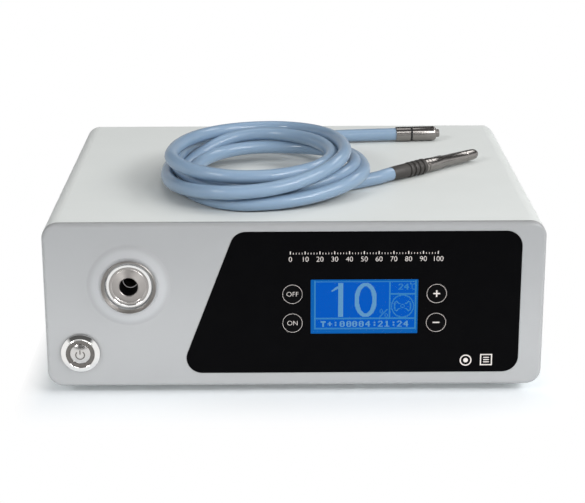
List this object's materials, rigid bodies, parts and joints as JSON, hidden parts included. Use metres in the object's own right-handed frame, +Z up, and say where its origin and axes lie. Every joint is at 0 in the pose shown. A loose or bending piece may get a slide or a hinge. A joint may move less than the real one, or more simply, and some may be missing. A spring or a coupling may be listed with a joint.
{
  "type": "fiber optic illuminator",
  "caption": "Box-shaped LED cold light source with a light-guide port, control panel, display and a fibre light cable coiled on its cover.",
  "frame": {"origin": "middle of the housing's footprint, on the surface that its rubber feet stand on", "axes": "+Z up, -Y the way the control panel faces, +X to the right when the panel is seen from its front"},
  "size_m": [0.314, 0.2732, 0.1413],
  "materials": {
    "light_grey_paint": "satin powder coat",
    "grey_front_paint": "fine satin paint",
    "black_overlay": "semi-gloss printed film",
    "blue_display": "lit blue display",
    "clear_window": "clear window",
    "black_plastic": "moulded",
    "black_gloss_key": "semi-gloss",
    "polished_steel": "polished",
    "turned_metal": "turned",
    "grey_anodised": "dark anodised",
    "aluminium": "extruded",
    "zinc_steel": "zinc plated",
    "brass": "turned",
    "circuit_board": "solder mask",
    "white_emitter": "phosphor on ceramic",
    "lens_glass": "ground glass",
    "blue_cable": "glossy silicone",
    "dark_rubber": "moulded",
    "grey_ribbon": "flat cable",
    "red_wire": "insulated wire",
    "brown_wire": "insulated wire"
  },
  "bodies": {
    "housing": {"front_panel": "grey_front_paint", "top_cover": "light_grey_paint", "base_tray": "light_grey_paint", "rear_panel": "light_grey_paint", "rubber_feet": "dark_rubber", "foot_screws": "zinc_steel", "cover_screws": "zinc_steel", "rear_screws": "zinc_steel", "control_overlay": "black_overlay", "display_window": "clear_window", "lcd_frame": "black_plastic", "lcd_panel": "blue_display", "lcd_board": "circuit_board", "display_header": "black_plastic", "control_board": "circuit_board", "board_spacers": "zinc_steel", "board_screws": "zinc_steel", "tact_switches": "black_plastic", "power_switch_body": "polished_steel", "power_switch_ring": "grey_anodised", "power_switch_gasket": "dark_rubber", "power_switch_nut": "brass", "port_collar": "grey_anodised", "port_socket": "turned_metal", "port_clamp_ring": "brass", "port_nut": "brass", "lens_tube": "grey_anodised", "condenser_lenses": "lens_glass", "led_board": "circuit_board", "led_emitter": "white_emitter", "heat_sink": "aluminium", "heat_sink_bracket": "zinc_steel", "fan_frame": "black_plastic", "fan_guard": "polished_steel", "fan_screws": "zinc_steel", "mains_inlet": "black_plastic", "inlet_pins": "brass", "supply_case": "zinc_steel", "supply_board": "circuit_board", "driver_board": "circuit_board", "driver_spacers": "black_plastic", "driver_parts": "black_plastic", "ribbon_cable": "grey_ribbon", "mains_wires": "brown_wire", "led_lead": "red_wire", "cable_coil": "blue_cable", "cable_tail_source": "blue_cable", "cable_tail_scope": "blue_cable", "source_strain_relief": "dark_rubber", "source_ferrule": "turned_metal", "scope_connector": "turned_metal"},
    "power_button": {"power_button": "polished_steel"},
    "key_off": {"key_off": "black_gloss_key"},
    "key_on": {"key_on": "black_gloss_key"},
    "key_plus": {"key_plus": "black_gloss_key"},
    "key_minus": {"key_minus": "black_gloss_key"},
    "fan_rotor": {"fan_rotor": "black_plastic"},
    "fuse_drawer": {"fuse_drawer": "black_plastic", "fuses": "lens_glass"}
  },
  "joints": [
    {"name": "power_button_press", "type": "slide", "parent": "housing", "child": "power_button", "axis": [0, 1, 0], "range_m": [0, 0.0015], "stiffness_N_per_m": 800},
    {"name": "key_off_press", "type": "slide", "parent": "housing", "child": "key_off", "axis": [0, 1, 0], "range_m": [0, 0.0004], "stiffness_N_per_m": 1000},
    {"name": "key_on_press", "type": "slide", "parent": "housing", "child": "key_on", "axis": [0, 1, 0], "range_m": [0, 0.0004], "stiffness_N_per_m": 1000},
    {"name": "key_plus_press", "type": "slide", "parent": "housing", "child": "key_plus", "axis": [0, 1, 0], "range_m": [0, 0.0004], "stiffness_N_per_m": 1000},
    {"name": "key_minus_press", "type": "slide", "parent": "housing", "child": "key_minus", "axis": [0, 1, 0], "range_m": [0, 0.0004], "stiffness_N_per_m": 1000},
    {"name": "fan_spin", "type": "hinge", "parent": "housing", "child": "fan_rotor", "pos_m": [-0.1034, 0.118, 0.06], "axis": [0, 1, 0], "continuous": true},
    {"name": "fuse_drawer_pull", "type": "slide", "parent": "housing", "child": "fuse_drawer", "axis": [0, 1, 0], "range_m": [0, 0.018]}
  ]
}
